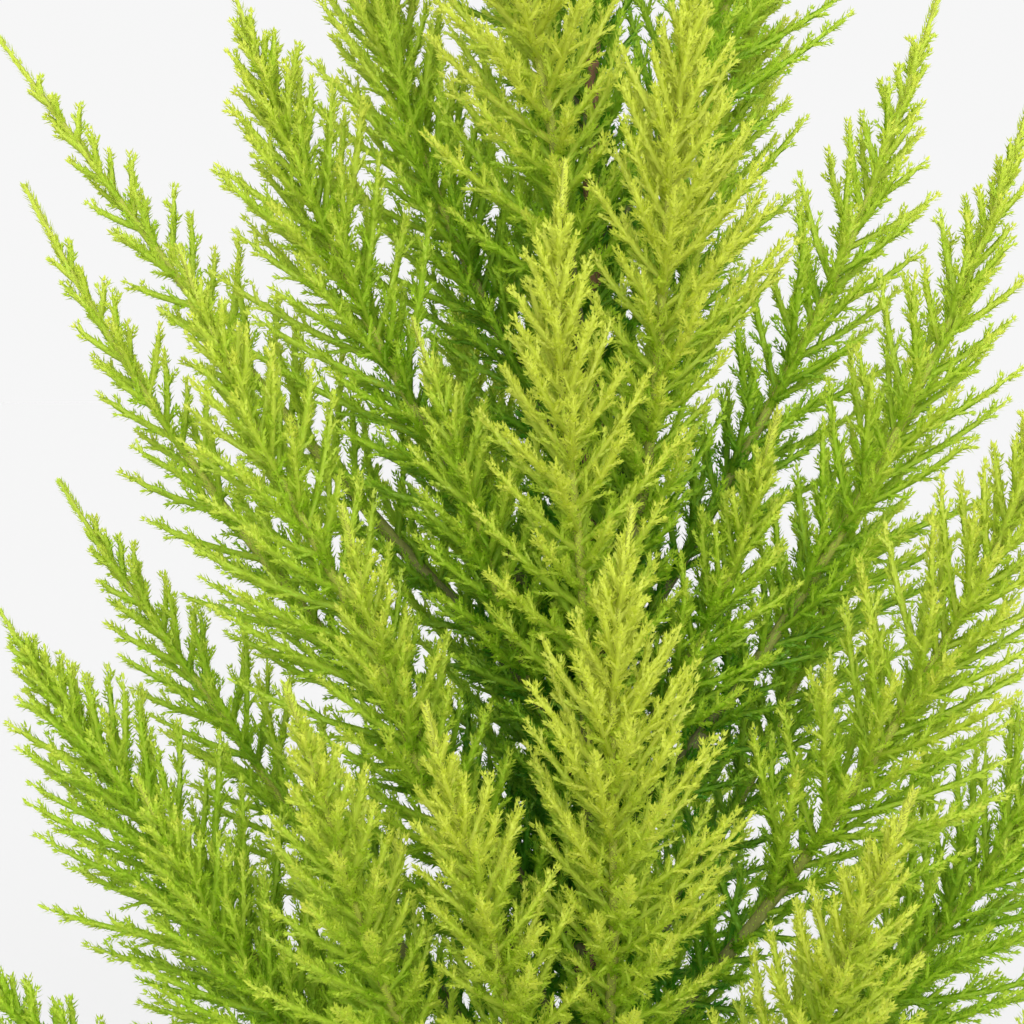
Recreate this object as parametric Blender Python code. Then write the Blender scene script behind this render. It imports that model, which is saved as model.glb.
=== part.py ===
"""Young golden Monterey cypress: a tapering trunk, ascending boughs and feathery plumes of foliage.

Metres, +Z up. The origin is the middle of the flat cut under the trunk, at ground level.
Every bough is an arc that leaves the trunk at a lean and straightens as it climbs. Its bare lower
part is a limb, and its outer part is the stem of one plume, a mass of twigs and sprays. Each plume
keeps to its own space: the points that lie nearer to its stem than to any other plume's stem.
"""

import math
import random
from dataclasses import dataclass

import bmesh
import bpy
import numpy as np
from mathutils import Matrix, Vector

# The trunk, in metres
TREE_HEIGHT = 0.700
TRUNK_HEIGHT = 0.560
TRUNK_FOOT_RADIUS = 0.0056
TRUNK_TIP_RADIUS = 0.0005
TRUNK_TAPER_POWER = 1.5
TRUNK_LEAN = 0.012
TRUNK_SWAY = 0.0016
TRUNK_SWAY_WAVES = 1.6
ROOT_FLARE = 0.0022
ROOT_FLARE_HEIGHT = 0.011
ROOT_SHOULDERS = 5
ROOT_SHOULDER_FIRST_HEADING = 24
ROOT_SHOULDER_REACH = 0.0080
ROOT_SHOULDER_HEIGHT = 0.024
ROOT_SHOULDER_RADII = (0.0026, 0.0009)

# The boughs. A bough with a limb is bare wood for LIMB_SHARE of its arc.
BOUGH_TIP_RADIUS = 0.00045
BOUGH_RADIUS_PER_LENGTH = 0.0066
BOUGH_TAPER_POWER = 0.9
BOUGH_SWAY = 0.0035
BOUGH_SWAY_WAVES = 1.1
LIMB_SHARE = 0.30
BARE_SHARE = 0.16
SEAT_GAP = 0.0003

# How a plume grows: laterals spiral up its stem, shorter and closer to it towards its tip. Their
# angle to the stem opens from the first to the second value over LATERAL_OPENING from the tip.
LATERAL_SPACING = 0.0020
LATERAL_LENGTH = 0.076
LATERAL_REACH = 0.092
LATERAL_GROWTH_POWER = 1.4
LATERAL_ANGLES = (25, 46)
LATERAL_OPENING = 0.100
LATERAL_ANGLE_SPREAD = 6
LATERAL_LENGTH_SPREAD = (0.85, 1.12)
LATERAL_UPTURN = 0.20
GOLDEN_ANGLE = 137.508
PLUME_CLEARANCE = 0.0012
SHORTENINGS = (1.0, 0.88, 0.76, 0.64, 0.52, 0.40)

# The solids have one lateral in seven, and its spray stands for all the shoots around it
SOLID_LATERAL_STEP = 7
STEM_END_SHARE = 0.97
TWIG_RADII = (0.0008, 0.00065)
TWIG_SHARE = 0.12
TWIG_OVERLAP_SHARE = 0.12
LEAFY_LENGTH = 0.030
SPRAY_WIDTH_SHARE = 0.82
SPRAY_DEPTH_SHARE = 0.42
SPRAY_RIDGE_SHARE = 0.30
SPRAY_ROLL = 0.6
TIP_SPRAY_SHARE = 0.84
TIP_SPRAY_WIDTH = 0.016
# One edge of a spray, tip to root: (share of the length from the root, share of the half width)
SPRAY_EDGE = ((1.0, 0.0), (0.80, 0.56), (0.48, 0.44), (0.52, 1.0), (0.0, 0.0))

# Sides and rings
TRUNK_RINGS = 15
TRUNK_RING_POWER = 1.35
LIMB_RINGS = 5
STEM_RINGS = 6
SPACE_SAMPLES = 28
TRUNK_BEVEL_RESOLUTION = 3
LIMB_BEVEL_RESOLUTION = 1
STEM_BEVEL_RESOLUTION = 0
ROOT_SHOULDER_SIDES = 7
TWIG_SIDES = 3
WELD_DISTANCE = 0.00001

# The boughs of each tier: height on the trunk, heading round it (0 is +X, 90 is +Y), lean from
# upright at the trunk, lean at the tip, length along the arc, and how full its plume is.
LOW_BOUGHS = (
    (0.076, -52, 47.7, 25.3, 0.208, 1.0),
    (0.084, -155.5, 47.8, 26.8, 0.195, 1.15),
    (0.092, 70, 50, 24, 0.205, 0.85),
    (0.098, -124, 49, 24, 0.212, 1.0),
    (0.106, 6, 55, 28, 0.226, 1.1),
    (0.106, -107.6, 45.8, 25.3, 0.193, 1.0),
    (0.110, 175, 53.8, 31.5, 0.221, 1.2),
    (0.118, -84.5, 42.6, 10.7, 0.213, 1.1),
    (0.140, 154, 53, 34, 0.224, 0.8),
)
MIDDLE_BOUGHS = (
    (0.150, -28, 48, 20, 0.232, 1.0),
    (0.165, 38, 46, 20, 0.212, 0.9),
    (0.195, 169, 47.8, 29.6, 0.238, 0.65),
    (0.184, -150, 42, 21.3, 0.213, 1.0),
    (0.204, -95, 38.2, 10.3, 0.199, 1.0),
    (0.210, -6, 43, 16, 0.222, 0.85),
)
# The shoots of the inner and upper tiers are leafy down to the trunk and have no limb
INNER_SHOOTS = (
    (0.158, -134, 42, 20, 0.172, 1.0),
    (0.180, 110, 40, 16, 0.200, 1.15),
    (0.224, -134, 36.6, 16, 0.138, 0.95),
    (0.222, -44, 41, 22, 0.122, 1.0),
)
UPPER_SHOOTS = (
    (0.238, 162, 46.7, 37.4, 0.243, 0.6),
    (0.246, -71, 32.8, 7.5, 0.203, 1.1),
    (0.250, 18.5, 36, 20, 0.204, 0.8),
    (0.256, -167.5, 37.7, 18, 0.196, 1.15),
    (0.272, 98, 34, 16, 0.196, 1.0),
    (0.290, 50, 34, 15, 0.184, 1.0),
    (0.300, 165, 32, 13, 0.174, 1.2),
)
SKIRT_BOUGHS = 5
SKIRT_HEIGHTS = (0.040, 0.068)
SKIRT_FIRST_HEADING = -98
SKIRT_TURN = 144
SKIRT_LEANS = (62, 32)
SKIRT_LENGTHS = (0.208, 0.222)
TOP_SHOOTS = 7
TOP_HEIGHTS = (0.325, 0.530)
TOP_FIRST_HEADING = -106
TOP_LEANS = (37, 12)
TOP_LENGTHS = (0.184, 0.108)
LEADER_HEADING = 20
LEADER_LEANS = (3, 0.5)


@dataclass
class Bough:
    """One arc from the trunk's centre line. limb_share is the part of it that is bare wood."""

    name: str
    height: float
    heading: float
    lean_low: float
    lean_high: float
    length: float
    fullness: float
    limb_share: float
    seed: int

    @property
    def foliage_share(self):
        """Where the plume's first laterals stand, as a share of the arc."""
        return self.limb_share or BARE_SHARE

    def radius(self, share):
        """The wood's radius at a share of the arc."""
        return BOUGH_TIP_RADIUS + BOUGH_RADIUS_PER_LENGTH * self.length * (1 - share) ** BOUGH_TAPER_POWER

    def point(self, share):
        """The arc's point at a share of its length, with a slight sideways sway."""
        low = math.radians(self.lean_low)
        turn = math.radians(self.lean_high) - low
        lean = low + turn * share
        outward = self.length * (math.cos(low) - math.cos(lean)) / turn
        upward = self.length * (math.sin(lean) - math.sin(low)) / turn
        sway = BOUGH_SWAY * share * math.sin(2 * math.pi * BOUGH_SWAY_WAVES * share + self.seed)
        heading = math.radians(self.heading)
        ahead = Vector((math.cos(heading), math.sin(heading), 0))
        aside = Vector((-math.sin(heading), math.cos(heading), 0))
        return trunk_centre(self.height) + ahead * outward + aside * sway + Vector((0, 0, upward))

    def tangent(self, share):
        step = 0.01
        return (self.point(min(share + step, 1)) - self.point(max(share - step, 0))).normalized()


def trunk_radius(height):
    taper = max(0.0, 1 - height / TREE_HEIGHT) ** TRUNK_TAPER_POWER
    flare = ROOT_FLARE * math.exp(-height / ROOT_FLARE_HEIGHT)
    return TRUNK_TIP_RADIUS + (TRUNK_FOOT_RADIUS - TRUNK_TIP_RADIUS) * taper + flare


def trunk_centre(height):
    """The trunk's centre line: a slight lean with a slow sway, upright at the ground."""
    climb = height / TREE_HEIGHT
    turn = 2 * math.pi * TRUNK_SWAY_WAVES * climb
    lean = TRUNK_LEAN * climb * climb
    return Vector((lean + TRUNK_SWAY * (1 - math.cos(turn)), TRUNK_SWAY * climb * math.sin(turn), height))


def between(ends, share):
    return ends[0] + (ends[1] - ends[0]) * share


def ruled_rows(count, heights, first_heading, turn, leans, lengths):
    """The rows of a tier whose boughs climb the trunk evenly, each turned on from the last."""
    for i in range(count):
        share = i / (count - 1)
        yield between(heights, share), first_heading + turn * i, *leans, between(lengths, share), 1


def all_boughs():
    """Every bough from the lowest tier to the top, each with its own seed, and the leader last."""
    skirt = ruled_rows(
        SKIRT_BOUGHS, SKIRT_HEIGHTS, SKIRT_FIRST_HEADING, SKIRT_TURN, SKIRT_LEANS, SKIRT_LENGTHS
    )
    top = ruled_rows(TOP_SHOOTS, TOP_HEIGHTS, TOP_FIRST_HEADING, GOLDEN_ANGLE, TOP_LEANS, TOP_LENGTHS)
    tiers = (
        ("skirt", skirt, LIMB_SHARE),
        ("low", LOW_BOUGHS, LIMB_SHARE),
        ("middle", MIDDLE_BOUGHS, LIMB_SHARE),
        ("inner", INNER_SHOOTS, 0),
        ("upper", UPPER_SHOOTS, 0),
        ("top", top, 0),
    )
    boughs = []
    for tier, rows, limb_share in tiers:
        for number, row in enumerate(rows, start=1):
            boughs.append(Bough(f"{tier}_{number}", *row, limb_share, len(boughs)))
    leader_length = TREE_HEIGHT - TRUNK_HEIGHT
    leader = Bough("leader", TRUNK_HEIGHT, LEADER_HEADING, *LEADER_LEANS, leader_length, 1, 0, len(boughs))
    return boughs + [leader]


class Space:
    """What each plume has to keep clear of: other plumes' stems, every limb and the trunk."""

    def __init__(self, boughs):
        shares = np.linspace(0, 1, SPACE_SAMPLES)
        self.stems = {}
        wood = []
        for bough in boughs:
            leafy = [s for s in shares if s >= bough.foliage_share * 0.8]
            self.stems[bough.name] = np.array([bough.point(s) for s in leafy])
            bare = [s for s in shares if s <= bough.foliage_share]
            if bough.name != "leader":
                wood += [(*bough.point(s), bough.radius(s)) for s in bare]
        for height in np.linspace(0, TRUNK_HEIGHT, 4 * SPACE_SAMPLES):
            wood.append((*trunk_centre(height), trunk_radius(height)))
        self.wood = np.array(wood)

    def allows(self, name, points, clearance):
        """True if the points lie nearer to their own stem than to any other, clear of the wood."""
        points = np.array(points)
        own = nearest(points, self.stems[name])
        others = np.concatenate([stem for key, stem in self.stems.items() if key != name])
        if np.any(own + 2 * clearance > nearest(points, others)):
            return False
        gaps = np.linalg.norm(points[:, None] - self.wood[None, :, :3], axis=2) - self.wood[:, 3]
        return bool(np.all(gaps > clearance))


def nearest(points, others):
    return np.linalg.norm(points[:, None] - others[None], axis=2).min(axis=1)


def clear_scene():
    for obj in list(bpy.data.objects):
        bpy.data.objects.remove(obj, do_unlink=True)


def new_collection(name):
    collection = bpy.data.collections.new(name)
    bpy.context.scene.collection.children.link(collection)
    return collection


def material(name, colour, roughness):
    made = bpy.data.materials.new(name)
    made.use_nodes = True
    shader = made.node_tree.nodes["Principled BSDF"]
    shader.inputs["Base Color"].default_value = (*colour, 1)
    shader.inputs["Roughness"].default_value = roughness
    shader.inputs["Metallic"].default_value = 0
    return made


def mesh_object(name, mesh, collection):
    obj = bpy.data.objects.new(name, mesh)
    collection.objects.link(obj)
    return obj


def bmesh_object(name, work, collection):
    """Turns finished bmesh work into an object."""
    mesh = bpy.data.meshes.new(name)
    work.to_mesh(mesh)
    work.free()
    return mesh_object(name, mesh, collection)


def tapered_tube(name, centres, radii, bevel_resolution, collection):
    """A closed mesh tube along the centres, made from a bevelled curve whose caps are welded on."""
    curve = bpy.data.curves.new(name, "CURVE")
    curve.dimensions = "3D"
    curve.bevel_depth = max(radii)
    curve.bevel_resolution = bevel_resolution
    curve.use_fill_caps = True
    spline = curve.splines.new("POLY")
    spline.points.add(len(centres) - 1)
    for point, centre, radius in zip(spline.points, centres, radii):
        point.co = (*centre, 1)
        point.radius = radius / curve.bevel_depth
    guide = bpy.data.objects.new(name + "_guide", curve)
    collection.objects.link(guide)
    graph = bpy.context.evaluated_depsgraph_get()
    mesh = bpy.data.meshes.new_from_object(guide.evaluated_get(graph))
    bpy.data.objects.remove(guide)
    work = bmesh.new()
    work.from_mesh(mesh)
    bpy.data.meshes.remove(mesh)
    bmesh.ops.remove_doubles(work, verts=work.verts, dist=WELD_DISTANCE)
    bmesh.ops.recalc_face_normals(work, faces=work.faces)
    return bmesh_object(name, work, collection)


def facing(centre, direction, front, roll):
    """A matrix that stands a shape's +Z along direction and turns its +Y to the front, then rolls it."""
    along = direction.normalized()
    across = front.cross(along).normalized()
    turn = Matrix((across, along.cross(across), along)).transposed().to_4x4()
    return Matrix.Translation(centre) @ turn @ Matrix.Rotation(roll, 4, "Z")


def cone(name, start, end, radii, sides, collection):
    """A straight piece with flat ends that tapers from start to end."""
    axis = end - start
    work = bmesh.new()
    bmesh.ops.create_cone(
        work,
        cap_ends=True,
        segments=sides,
        radius1=radii[0],
        radius2=radii[1],
        depth=axis.length,
        matrix=facing((start + end) / 2, axis, axis.orthogonal(), 0),
    )
    return bmesh_object(name, work, collection)


def spray_points(root, tip, width, roll):
    """The points of a spray's toothed edge, and the two ends of the ridge across its thick part."""
    middle = (root + tip) / 2
    outward = middle - trunk_centre(min(middle.z, TRUNK_HEIGHT))
    place = facing(middle, tip - root, outward, roll)
    length = (tip - root).length
    sides = list(SPRAY_EDGE) + [(along, -side) for along, side in reversed(SPRAY_EDGE[1:-1])]
    edge = [place @ Vector((side * width / 2, 0, (along - 0.5) * length)) for along, side in sides]
    depth = SPRAY_DEPTH_SHARE * width
    ridge_height = (SPRAY_RIDGE_SHARE - 0.5) * length
    ridge = [place @ Vector((0, side * depth, ridge_height)) for side in (-0.5, 0.5)]
    return edge, ridge


def spray(name, root, tip, width, roll, collection):
    """A spray of needles: a sphere of two caps pulled into a ridged blade with a toothed edge."""
    edge, ridge = spray_points(root, tip, width, roll)
    work = bmesh.new()
    bmesh.ops.create_uvsphere(work, u_segments=len(edge), v_segments=2, radius=1)
    poles = sorted((v for v in work.verts if abs(v.co.z) > 0.5), key=lambda v: v.co.z)
    rim = [v for v in work.verts if v not in poles]
    rim.sort(key=lambda v: math.atan2(v.co.y, v.co.x))
    for vert, point in zip(rim + poles, edge + ridge):
        vert.co = point
    bmesh.ops.recalc_face_normals(work, faces=work.faces)
    return bmesh_object(name, work, collection)


def cut(obj, cutter):
    modifier = obj.modifiers.new("cut", "BOOLEAN")
    modifier.operation = "DIFFERENCE"
    modifier.solver = "EXACT"
    modifier.object = cutter


def unite(obj, pieces):
    """Fuses a collection's objects onto obj, then removes them."""
    modifier = obj.modifiers.new("union", "BOOLEAN")
    modifier.operation = "UNION"
    modifier.solver = "EXACT"
    modifier.operand_type = "COLLECTION"
    modifier.collection = pieces
    graph = bpy.context.evaluated_depsgraph_get()
    mesh = bpy.data.meshes.new_from_object(obj.evaluated_get(graph))
    obj.modifiers.clear()
    obj.data = mesh
    for piece in list(pieces.objects):
        bpy.data.objects.remove(piece, do_unlink=True)
    bpy.data.collections.remove(pieces)


def hide(cutter):
    cutter.hide_render = True
    cutter.display_type = "WIRE"
    return cutter


def give(obj, finish):
    """Leaves obj with this one material."""
    obj.data.materials.clear()
    obj.data.materials.append(finish)


def build_trunk(tree, cutters, bark):
    """The trunk with its root shoulders fused on, cut flat at the ground. Returns the cutter that
    seats boughs and shoots on it."""
    heights = [TRUNK_HEIGHT * (i / TRUNK_RINGS) ** TRUNK_RING_POWER for i in range(TRUNK_RINGS + 1)]
    centres = [trunk_centre(h) for h in heights]
    radii = [trunk_radius(h) for h in heights]
    trunk = tapered_tube("trunk", centres, radii, TRUNK_BEVEL_RESOLUTION, tree)
    shoulders = new_collection("root_shoulders")
    for i in range(ROOT_SHOULDERS):
        root_shoulder(i, shoulders)
    unite(trunk, shoulders)
    work = bmesh.new()
    size = ROOT_SHOULDER_REACH * 8
    bmesh.ops.create_cube(work, size=size, matrix=Matrix.Translation((0, 0, -size / 2)))
    cut(trunk, hide(bmesh_object("below_ground", work, cutters)))
    give(trunk, bark)
    seats = [r + SEAT_GAP for r in radii]
    return hide(tapered_tube("trunk_clearance", centres, seats, TRUNK_BEVEL_RESOLUTION, cutters))


def root_shoulder(number, shoulders):
    """A buttress that runs down the foot of the trunk and out under the ground."""
    heading = math.radians(ROOT_SHOULDER_FIRST_HEADING + 360 / ROOT_SHOULDERS * number)
    foot = Vector((math.cos(heading), math.sin(heading), 0)) * ROOT_SHOULDER_REACH
    top = trunk_centre(ROOT_SHOULDER_HEIGHT) + foot / 3
    below_ground = foot + (foot - top).normalized() * ROOT_SHOULDER_RADII[0] * 1.5
    cone(f"root_shoulder_{number}", below_ground, top, ROOT_SHOULDER_RADII, ROOT_SHOULDER_SIDES, shoulders)


def build_limb(bough, trunk_clearance, tree, bark):
    """The bare lower part of a bough, seated on the trunk."""
    shares = [bough.limb_share * i / LIMB_RINGS for i in range(LIMB_RINGS + 1)]
    centres = [bough.point(s) for s in shares]
    radii = [bough.radius(s) for s in shares]
    limb = tapered_tube(f"bough_{bough.name}", centres, radii, LIMB_BEVEL_RESOLUTION, tree)
    cut(limb, trunk_clearance)
    give(limb, bark)


def plume_laterals(bough):
    """(share of the arc, direction, length) of each lateral of a plume, spiralling up its stem."""
    chance = random.Random(100 + bough.seed)
    count = round(bough.length * (1 - bough.foliage_share) * bough.fullness / LATERAL_SPACING)
    spin = chance.uniform(0, 360)
    for i in range(count):
        share = bough.foliage_share + (1 - bough.foliage_share) * (i + 0.4) / (count + 2)
        tangent = bough.tangent(share)
        side = tangent.cross(Vector((0, 0, 1))).normalized()
        across = Matrix.Rotation(math.radians(spin + GOLDEN_ANGLE * i), 3, tangent) @ side
        left = bough.length * (1 - share)
        angle = between(LATERAL_ANGLES, min(1, left / LATERAL_OPENING))
        angle = math.radians(angle + chance.uniform(-1, 1) * LATERAL_ANGLE_SPREAD)
        direction = tangent * math.cos(angle) + across * math.sin(angle)
        direction = (direction + Vector((0, 0, LATERAL_UPTURN))).normalized()
        room = (1 - math.exp(-left / LATERAL_REACH)) ** LATERAL_GROWTH_POWER
        length = LATERAL_LENGTH * room * bough.fullness * chance.uniform(*LATERAL_LENGTH_SPREAD)
        yield share, direction, length


def on_stem(centres, shares, share):
    """The point at this share of the arc on the straight runs between a stem's rings."""
    ring = max(i for i in range(len(shares) - 1) if shares[i] <= max(share, shares[0]))
    part_way = (share - shares[ring]) / (shares[ring + 1] - shares[ring])
    return centres[ring].lerp(centres[ring + 1], part_way)


def solid_lateral(name, bough, root, reach, roll, space, pieces):
    """One lateral at the longest reach that keeps to the plume's space, or none."""
    for shortening in SHORTENINGS:
        tip = root + reach * shortening
        on_twig = reach.length * shortening > LEAFY_LENGTH
        start = root.lerp(tip, TWIG_SHARE) if on_twig else root
        width = SPRAY_WIDTH_SHARE * (tip - start).length
        edge, ridge = spray_points(start, tip, width, roll)
        points = edge[:-1] + ridge + [root.lerp(tip, i / 6) for i in range(1, 6)]
        clear_of_root = [p for p in points if (p - root).length > 2 * PLUME_CLEARANCE]
        if space.allows(bough.name, clear_of_root, PLUME_CLEARANCE):
            break
    else:
        return
    spray(f"{name}_spray", start, tip, width, roll, pieces)
    if on_twig:
        end = root.lerp(tip, TWIG_SHARE + TWIG_OVERLAP_SHARE)
        cone(f"{name}_twig", root, end, TWIG_RADII, TWIG_SIDES, pieces)


def build_plume(bough, space, trunk_clearance, tree, green):
    """One mass of foliage: a stem, its laterals and their sprays, fused into one solid."""
    seated_on_trunk = not bough.limb_share and bough.name != "leader"
    first = 0 if seated_on_trunk else bough.limb_share + SEAT_GAP / bough.length
    shares = [between((first, STEM_END_SHARE), i / STEM_RINGS) for i in range(STEM_RINGS + 1)]
    centres = [bough.point(s) for s in shares]
    name = f"foliage_{bough.name}"
    stem = tapered_tube(name, centres, [bough.radius(s) for s in shares], STEM_BEVEL_RESOLUTION, tree)
    if seated_on_trunk:
        cut(stem, trunk_clearance)
    pieces = new_collection(name + "_pieces")
    chance = random.Random(500 + bough.seed)
    tip_root = on_stem(centres, shares, TIP_SPRAY_SHARE)
    spray(name + "_tip", tip_root, bough.point(1), TIP_SPRAY_WIDTH, 0, pieces)
    for i, (share, direction, length) in enumerate(plume_laterals(bough)):
        if i % SOLID_LATERAL_STEP == 0 and share < TIP_SPRAY_SHARE:
            root = on_stem(centres, shares, share)
            roll = chance.uniform(-SPRAY_ROLL, SPRAY_ROLL)
            solid_lateral(f"{name}_{i}", bough, root, direction * length, roll, space, pieces)
    unite(stem, pieces)
    give(stem, green)


def main():
    clear_scene()
    tree = new_collection("monterey_cypress")
    cutters = new_collection("cutters")
    bark = material("bark", (0.26, 0.15, 0.07), 0.85)
    green = material("foliage", (0.42, 0.55, 0.06), 0.6)
    boughs = all_boughs()
    space = Space(boughs)
    trunk_clearance = build_trunk(tree, cutters, bark)
    for bough in boughs:
        if bough.limb_share:
            build_limb(bough, trunk_clearance, tree, bark)
        build_plume(bough, space, trunk_clearance, tree, green)


main()
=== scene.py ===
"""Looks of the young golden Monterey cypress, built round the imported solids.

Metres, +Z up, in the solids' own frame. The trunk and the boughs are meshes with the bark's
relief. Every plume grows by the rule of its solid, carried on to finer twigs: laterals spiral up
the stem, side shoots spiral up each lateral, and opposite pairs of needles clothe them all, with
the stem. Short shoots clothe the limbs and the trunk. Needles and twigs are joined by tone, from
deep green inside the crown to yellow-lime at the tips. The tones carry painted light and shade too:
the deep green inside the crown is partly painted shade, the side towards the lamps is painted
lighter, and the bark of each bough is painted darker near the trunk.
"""

import math
import random
from dataclasses import dataclass

import bpy
import numpy as np
from mathutils import Matrix, Vector

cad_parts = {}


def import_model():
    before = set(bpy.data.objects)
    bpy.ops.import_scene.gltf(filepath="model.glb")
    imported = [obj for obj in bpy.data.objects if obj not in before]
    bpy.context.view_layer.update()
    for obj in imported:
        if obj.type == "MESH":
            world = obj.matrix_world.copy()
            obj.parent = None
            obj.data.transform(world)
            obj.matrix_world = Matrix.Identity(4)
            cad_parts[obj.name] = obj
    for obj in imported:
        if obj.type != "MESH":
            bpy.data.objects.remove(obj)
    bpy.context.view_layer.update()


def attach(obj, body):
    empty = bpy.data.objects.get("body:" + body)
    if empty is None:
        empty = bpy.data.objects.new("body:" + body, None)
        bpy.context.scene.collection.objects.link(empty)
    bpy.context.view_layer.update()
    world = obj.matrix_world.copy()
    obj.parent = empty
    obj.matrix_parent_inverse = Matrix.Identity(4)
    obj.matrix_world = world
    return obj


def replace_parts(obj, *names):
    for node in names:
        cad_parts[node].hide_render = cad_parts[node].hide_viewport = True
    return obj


# Lengths are in metres. Angles are in degrees, apart from the one that is said to be in radians. A
# share runs from 0 to 1.

# The trunk
TREE_HEIGHT = 0.700
TRUNK_HEIGHT = 0.560
TRUNK_FOOT_RADIUS = 0.0056
TRUNK_TIP_RADIUS = 0.0005
TRUNK_TAPER_POWER = 1.5
TRUNK_LEAN = 0.012
TRUNK_SWAY = 0.0016
TRUNK_SWAY_WAVES = 1.6
ROOT_FLARE = 0.0022
ROOT_FLARE_HEIGHT = 0.011
ROOT_SHOULDERS = 5
ROOT_SHOULDER_FIRST_HEADING = 24
ROOT_SHOULDER_SWELL = 0.0030
ROOT_SHOULDER_FALL = 0.010
ROOT_SHOULDER_SHARPNESS = 1.5

# The boughs. A bough with a limb has no laterals for LIMB_SHARE of its arc, and any other has none
# for BARE_SHARE.
BOUGH_TIP_RADIUS = 0.00045
BOUGH_RADIUS_PER_LENGTH = 0.0066
BOUGH_TAPER_POWER = 0.9
BOUGH_SWAY = 0.0035
BOUGH_SWAY_WAVES = 1.1
LIMB_SHARE = 0.30
BARE_SHARE = 0.16

# The laterals of a plume, by the same rule as in the solids
LATERAL_SPACING = 0.0020
LATERAL_LENGTH = 0.076
LATERAL_REACH = 0.092
LATERAL_GROWTH_POWER = 1.4
LATERAL_ANGLES = (25, 46)
LATERAL_OPENING = 0.100
LATERAL_ANGLE_SPREAD = 6
LATERAL_LENGTH_SPREAD = (0.85, 1.12)
LATERAL_UPTURN = 0.20
GOLDEN_ANGLE = 137.508
# The first lateral stands FIRST_STEP of a step up the plume, and TIP_STEPS at the tip have none
FIRST_STEP = 0.4
TIP_STEPS = 2

# The space of a plume: its clearance, the shares of its length that a lateral is tried at, the
# places along a bough and up the trunk, and how far down towards the trunk a stem counts, as a share
# of where its laterals start
PLUME_CLEARANCE = 0.0004
SHORTENINGS = (1.0, 0.88, 0.76, 0.64, 0.52, 0.40, 0.28, 0.18)
SPACE_SAMPLES = 28
TRUNK_SPACE_SAMPLES = 4 * SPACE_SAMPLES
STEM_MARGIN_SHARE = 0.8

# What the scene adds: the shares of a lateral that are tested for room, how much it curves towards
# the stem's direction at LATERAL_CURVE_FROM, raised by LATERAL_RISE, and its thickness
TESTED_SHARES = (0.2, 0.35, 0.5, 0.65, 0.8, 1.0)
LATERAL_CURVE = 0.20
LATERAL_CURVE_FROM = 0.7
LATERAL_RISE = 0.6
LATERAL_RADIUS = 0.00105
SHORTEST_LATERAL = 0.0040
LEAFY_STEM_RADIUS = 0.0012

# The first random seed of each kind of draw
LATERAL_RULE_SEED = 100
LATERAL_ROOM_SEED = 300
PLUME_SEED = 700
TRUNK_SEED = 900

# The boughs of each tier: height on the trunk, heading round it (0 is +X, 90 is +Y), lean from
# upright at the trunk, lean at the tip, length along the arc, and how full its plume is.
LOW_BOUGHS = (
    (0.076, -52, 47.7, 25.3, 0.208, 1.0),
    (0.084, -155.5, 47.8, 26.8, 0.195, 1.15),
    (0.092, 70, 50, 24, 0.205, 0.85),
    (0.098, -124, 49, 24, 0.212, 1.0),
    (0.106, 6, 55, 28, 0.226, 1.1),
    (0.106, -107.6, 45.8, 25.3, 0.193, 1.0),
    (0.110, 175, 53.8, 31.5, 0.221, 1.2),
    (0.118, -84.5, 42.6, 10.7, 0.213, 1.1),
    (0.140, 154, 53, 34, 0.224, 0.8),
)
MIDDLE_BOUGHS = (
    (0.150, -28, 48, 20, 0.232, 1.0),
    (0.165, 38, 46, 20, 0.212, 0.9),
    (0.195, 169, 47.8, 29.6, 0.238, 0.65),
    (0.184, -150, 42, 21.3, 0.213, 1.0),
    (0.204, -95, 38.2, 10.3, 0.199, 1.0),
    (0.210, -6, 43, 16, 0.222, 0.85),
)
INNER_SHOOTS = (
    (0.158, -134, 42, 20, 0.172, 1.0),
    (0.180, 110, 40, 16, 0.200, 1.15),
    (0.224, -134, 36.6, 16, 0.138, 0.95),
    (0.222, -44, 41, 22, 0.122, 1.0),
)
UPPER_SHOOTS = (
    (0.238, 162, 46.7, 37.4, 0.243, 0.6),
    (0.246, -71, 32.8, 7.5, 0.203, 1.1),
    (0.250, 18.5, 36, 20, 0.204, 0.8),
    (0.256, -167.5, 37.7, 18, 0.196, 1.15),
    (0.272, 98, 34, 16, 0.196, 1.0),
    (0.290, 50, 34, 15, 0.184, 1.0),
    (0.300, 165, 32, 13, 0.174, 1.2),
)
SKIRT_BOUGHS = 5
SKIRT_HEIGHTS = (0.040, 0.068)
SKIRT_FIRST_HEADING = -98
SKIRT_TURN = 144
SKIRT_LEANS = (62, 32)
SKIRT_LENGTHS = (0.208, 0.222)
TOP_SHOOTS = 7
TOP_HEIGHTS = (0.325, 0.530)
TOP_FIRST_HEADING = -106
TOP_LEANS = (37, 12)
TOP_LENGTHS = (0.184, 0.108)
LEADER_HEADING = 20
LEADER_LEANS = (3, 0.5)

# Short shoots that spiral up the limbs and the trunk: spacing along the wood, shortest and longest.
# PLACES here and below are where in its own step each one stands, and this TURN_SPREAD is in radians.
LIMB_SHOOTS = dict(spacing=0.0020, lengths=(0.010, 0.026))
TRUNK_SHOOTS = dict(spacing=0.0015, lengths=(0.012, 0.030))
TRUNK_SHOOTS_FROM = 0.090
WOOD_SHOOT_ANGLE = 44
WOOD_SHOOT_ANGLE_SPREAD = 9
WOOD_SHOOT_PLACES = (0.1, 0.9)
WOOD_SHOOT_TURN_SPREAD = 0.3

# Needles stand on the wood itself from this height up the trunk, and from this share of a limb. For
# their tone, they count as LEAFY_WOOD_ALONG of the way along a lateral.
LEAFY_TRUNK_FROM = 0.300
LEAFY_LIMB_FROM = 0.10
LEAFY_WOOD_ALONG = 0.5

# How many places stand for a centre line: a plume's stem, the wood below it, a leafy limb, the
# trunk, and the trunk where only its axis counts
STEM_PLACES = 15
INNER_PLACES = 20
LIMB_PLACES = 8
TRUNK_PLACES = 80
AXIS_PLACES = 60

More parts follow.
